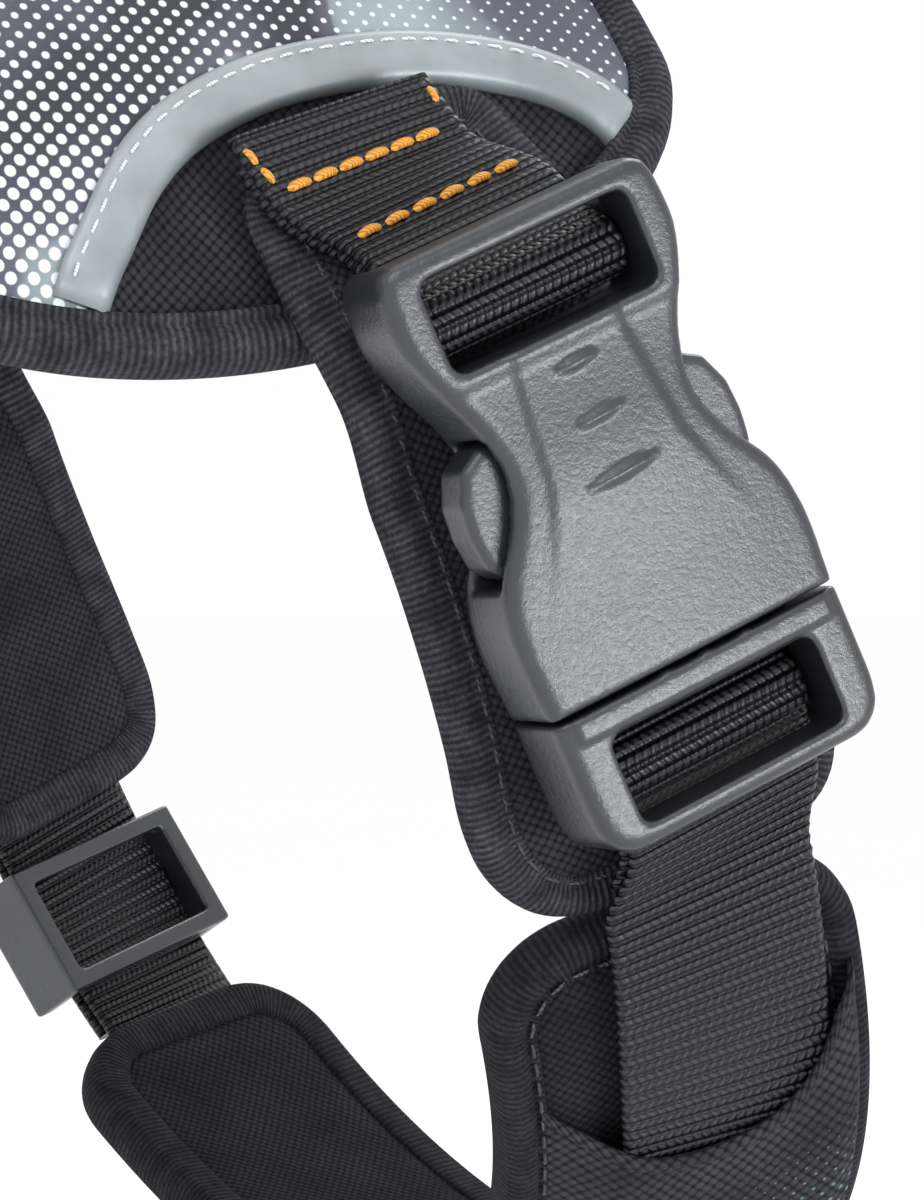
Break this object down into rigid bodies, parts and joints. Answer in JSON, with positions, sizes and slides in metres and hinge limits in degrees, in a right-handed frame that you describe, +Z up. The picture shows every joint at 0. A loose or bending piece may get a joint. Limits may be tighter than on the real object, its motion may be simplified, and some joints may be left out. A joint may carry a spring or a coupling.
{
  "type": "safety harness vest",
  "caption": "Padded safety harness vest for a medium dog: saddle, chest loop, belly band with side-release buckle, grab handle and swinging anchor rings.",
  "frame": {"origin": "on the spine line of the saddle's inner face, straight above the mouth of the buckle", "axes": "+X towards the wearer's tail, +Y towards the wearer's right, +Z up"},
  "size_m": [0.2573, 0.1962, 0.2339],
  "materials": {
    "air_mesh": "fine knitted air mesh, dull",
    "foam": "closed foam sheet, covered",
    "print_fabric": "printed woven polyester, halftone camouflage in greys with white dots",
    "binding_tape": "grosgrain edge tape",
    "reflective_tape": "silver reflective tape, satin",
    "webbing": "ribbed nylon webbing",
    "buckle_plastic": "moulded acetal, satin with rolled edges",
    "ring_metal": "satin anodised"
  },
  "bodies": {
    "vest": {"saddle_mesh_lining": "air_mesh", "saddle_foam_core": "foam", "saddle_mesh_cover": "air_mesh", "saddle_print_panel": "print_fabric", "saddle_edge_binding": "binding_tape", "reflective_trim_left": "reflective_tape", "reflective_trim_right": "reflective_tape", "guard_pad_left": "air_mesh", "guard_binding_left": "binding_tape", "guard_pad_right": "air_mesh", "guard_binding_right": "binding_tape", "tab_webbing_left": "webbing", "tab_webbing_right": "webbing", "buckle_housing": "buckle_plastic", "side_loop_frame": "buckle_plastic", "handle_webbing": "webbing", "handle_grip": "air_mesh", "ring_keeper": "webbing", "chest_pad_lining": "air_mesh", "chest_pad_foam": "foam", "chest_pad_cover": "print_fabric", "chest_pad_binding": "binding_tape", "chest_strap_left": "webbing", "chest_strap_right": "webbing", "chest_ring_keeper": "webbing"},
    "belly_band": {"buckle_latch_frame": "buckle_plastic", "belly_strap": "webbing", "belly_pad_lining": "air_mesh", "belly_pad_foam": "foam", "belly_pad_cover": "air_mesh", "belly_pad_binding": "binding_tape", "belly_sleeve": "air_mesh"},
    "latch_arm_front": {"latch_arm_front": "buckle_plastic"},
    "latch_arm_rear": {"latch_arm_rear": "buckle_plastic"},
    "belly_slider": {"belly_slider": "buckle_plastic"},
    "chest_slider_left": {"chest_slider_left": "buckle_plastic"},
    "chest_slider_right": {"chest_slider_right": "buckle_plastic"},
    "leash_ring": {"leash_ring": "ring_metal"},
    "chest_ring": {"chest_ring": "ring_metal"}
  },
  "joints": [
    {"name": "belly_swing", "type": "hinge", "parent": "vest", "child": "belly_band", "pos_m": [-0.00224, 0.09018, -0.1], "axis": [0.9063, 0, 0.4226], "range_deg": [0, 65]},
    {"name": "front_arm_press", "type": "hinge", "parent": "belly_band", "child": "latch_arm_front", "pos_m": [-0.0105, -0.09152, -0.10329], "axis": [-0.1392, -0.9903, 0], "range_deg": [-10, 0], "stiffness_Nm_per_rad": 0.05},
    {"name": "rear_arm_press", "type": "hinge", "parent": "belly_band", "child": "latch_arm_rear", "pos_m": [0.00924, -0.0943, -0.09399], "axis": [-0.1392, -0.9903, 0], "range_deg": [0, 10], "stiffness_Nm_per_rad": 0.05},
    {"name": "belly_adjust", "type": "slide", "parent": "belly_band", "child": "belly_slider", "axis": [-0.3765, 0.3493, 0.8581], "range_m": [-0.004, 0.003]},
    {"name": "chest_adjust_left", "type": "slide", "parent": "vest", "child": "chest_slider_left", "axis": [-0.7646, 0.3864, -0.5158], "range_m": [-0.003, 0.004]},
    {"name": "chest_adjust_right", "type": "slide", "parent": "vest", "child": "chest_slider_right", "axis": [-0.7646, -0.3864, -0.5158], "range_m": [-0.003, 0.004]},
    {"name": "leash_ring_swing", "type": "hinge", "parent": "vest", "child": "leash_ring", "pos_m": [-0.002, 0, 0.01012], "axis": [0, 1, 0], "range_deg": [-150, 0]},
    {"name": "chest_ring_swing", "type": "hinge", "parent": "vest", "child": "chest_ring", "pos_m": [-0.19341, 0, -0.09794], "axis": [0, 1, 0], "range_deg": [0, 110]}
  ]
}
